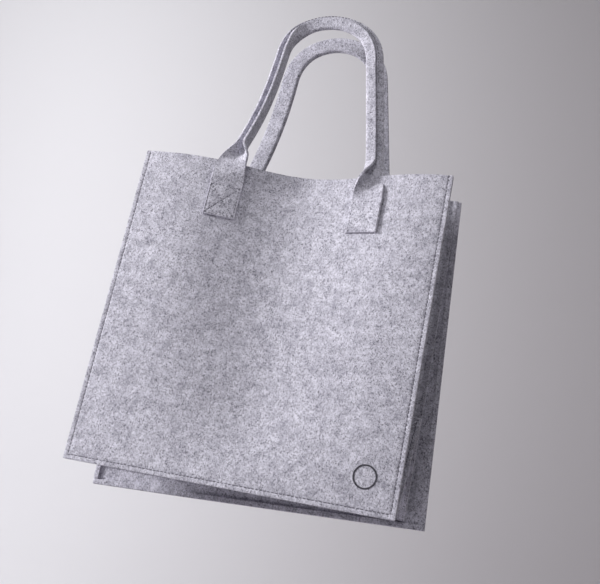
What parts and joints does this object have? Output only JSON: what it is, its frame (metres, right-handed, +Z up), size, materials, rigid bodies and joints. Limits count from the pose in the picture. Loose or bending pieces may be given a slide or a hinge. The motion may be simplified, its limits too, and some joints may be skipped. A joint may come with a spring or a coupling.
{
  "type": "felt knitting bag",
  "caption": "Open-topped carry bag of thick felt with inward-folding side gussets, an upward-folding bottom and two strap handles.",
  "frame": {"origin": "on the ground under the middle of the bag, at the lower raw edges of the two panels", "axes": "X along the width, -Y out of the front panel, +Z up to the handles"},
  "size_m": [0.3862, 0.0834, 0.5978],
  "materials": {
    "felt": "matte needle felt, heather grey",
    "thread": "matte polyester sewing thread",
    "print": "matte print on felt"
  },
  "bodies": {
    "front": {"front_panel": "felt", "front_seam_thread": "thread", "printed_mark": "print", "bottom_front_allowance": "felt", "left_front_allowance": "felt", "right_front_allowance": "felt", "front_left_tab": "felt", "front_right_tab": "felt", "front_left_tab_thread": "thread", "front_right_tab_thread": "thread"},
    "back": {"back_panel": "felt", "back_seam_thread": "thread", "bottom_back_allowance": "felt", "left_back_allowance": "felt", "right_back_allowance": "felt", "back_left_tab": "felt", "back_right_tab": "felt", "back_left_tab_thread": "thread", "back_right_tab_thread": "thread"},
    "bottom_front": {"bottom_front_half": "felt"},
    "bottom_back": {"bottom_back_half": "felt"},
    "front_handle": {"front_handle": "felt", "front_handle_thread": "thread"},
    "back_handle": {"back_handle": "felt", "back_handle_thread": "thread"},
    "right_front_gusset": {"right_gusset_front_half": "felt"},
    "right_front_corner": {"right_front_corner": "felt", "right_front_corner_thread": "thread"},
    "right_back_gusset": {"right_gusset_back_half": "felt"},
    "right_back_corner": {"right_back_corner": "felt", "right_back_corner_thread": "thread"},
    "left_front_gusset": {"left_gusset_front_half": "felt"},
    "left_front_corner": {"left_front_corner": "felt", "left_front_corner_thread": "thread"},
    "left_back_gusset": {"left_gusset_back_half": "felt"},
    "left_back_corner": {"left_back_corner": "felt", "left_back_corner_thread": "thread"}
  },
  "joints": [
    {"name": "side_fold", "type": "hinge", "parent": "front", "child": "right_front_gusset", "pos_m": [0.184, -0.0317, 0], "axis": [0, 0, 1], "range_deg": [-74, 7]},
    {"name": "right_crease", "type": "hinge", "parent": "right_front_gusset", "child": "right_back_gusset", "pos_m": [0.07346, 0, 0], "axis": [0, 0, 1], "range_deg": [-14.01, 148.01]},
    {"name": "back_panel_seam", "type": "hinge", "parent": "right_back_gusset", "child": "back", "pos_m": [0.184, 0.0317, 0], "axis": [0, 0, 1], "range_deg": [-74.01, 7.01]},
    {"name": "left_front_seam", "type": "hinge", "parent": "front", "child": "left_front_gusset", "pos_m": [-0.184, -0.0317, 0], "axis": [0, 0, 1], "range_deg": [-7.01, 74.01]},
    {"name": "left_crease", "type": "hinge", "parent": "left_front_gusset", "child": "left_back_gusset", "pos_m": [-0.07346, 0, 0], "axis": [0, 0, 1], "range_deg": [-148.01, 14.01]},
    {"name": "bottom_front_seam", "type": "hinge", "parent": "front", "child": "bottom_front", "pos_m": [0, -0.0213, 0.006], "axis": [1, 0, 0], "range_deg": [-79.19, 7.5]},
    {"name": "bottom_crease", "type": "hinge", "parent": "bottom_front", "child": "bottom_back", "pos_m": [0, 0, 0.10871], "axis": [1, 0, 0], "range_deg": [-14.99, 158.37]},
    {"name": "right_front_corner_fold", "type": "hinge", "parent": "right_front_gusset", "child": "right_front_corner", "pos_m": [0.184, -0.0317, 0.006], "axis": [0.6797, -0.1949, -0.7071], "range_deg": [-159.85, 15.13], "deforming": ["right_front_corner", "right_front_corner_thread"]},
    {"name": "right_back_corner_fold", "type": "hinge", "parent": "right_back_gusset", "child": "right_back_corner", "pos_m": [0.184, 0.0317, 0.006], "axis": [-0.6797, -0.1949, 0.7071], "range_deg": [-159.85, 15.13], "deforming": ["right_back_corner", "right_back_corner_thread"]},
    {"name": "left_front_corner_fold", "type": "hinge", "parent": "left_front_gusset", "child": "left_front_corner", "pos_m": [-0.184, -0.0317, 0.006], "axis": [0.6797, 0.1949, 0.7071], "range_deg": [-159.85, 15.13], "deforming": ["left_front_corner", "left_front_corner_thread"]},
    {"name": "left_back_corner_fold", "type": "hinge", "parent": "left_back_gusset", "child": "left_back_corner", "pos_m": [-0.184, 0.0317, 0.006], "axis": [-0.6797, 0.1949, -0.7071], "range_deg": [-159.85, 15.13], "deforming": ["left_back_corner", "left_back_corner_thread"]},
    {"name": "front_handle_swing", "type": "hinge", "parent": "front", "child": "front_handle", "pos_m": [0, -0.0411, 0.388], "axis": [1, 0, 0], "range_deg": [0, 165]},
    {"name": "back_handle_swing", "type": "hinge", "parent": "back", "child": "back_handle", "pos_m": [0, 0.0411, 0.388], "axis": [-1, 0, 0], "range_deg": [0, 165]}
  ],
  "couplings": [
    {"joint": "right_crease", "follows": "side_fold", "ratio": -2},
    {"joint": "back_panel_seam", "follows": "side_fold", "ratio": 1},
    {"joint": "left_front_seam", "follows": "side_fold", "ratio": -1},
    {"joint": "left_crease", "follows": "side_fold", "ratio": 2},
    {"joint": "bottom_front_seam", "follows": "side_fold", "ratio": 1.07},
    {"joint": "bottom_crease", "follows": "side_fold", "ratio": -2.14},
    {"joint": "right_front_corner_fold", "follows": "side_fold", "ratio": 2.16},
    {"joint": "right_back_corner_fold", "follows": "side_fold", "ratio": 2.16},
    {"joint": "left_front_corner_fold", "follows": "side_fold", "ratio": 2.16},
    {"joint": "left_back_corner_fold", "follows": "side_fold", "ratio": 2.16}
  ]
}
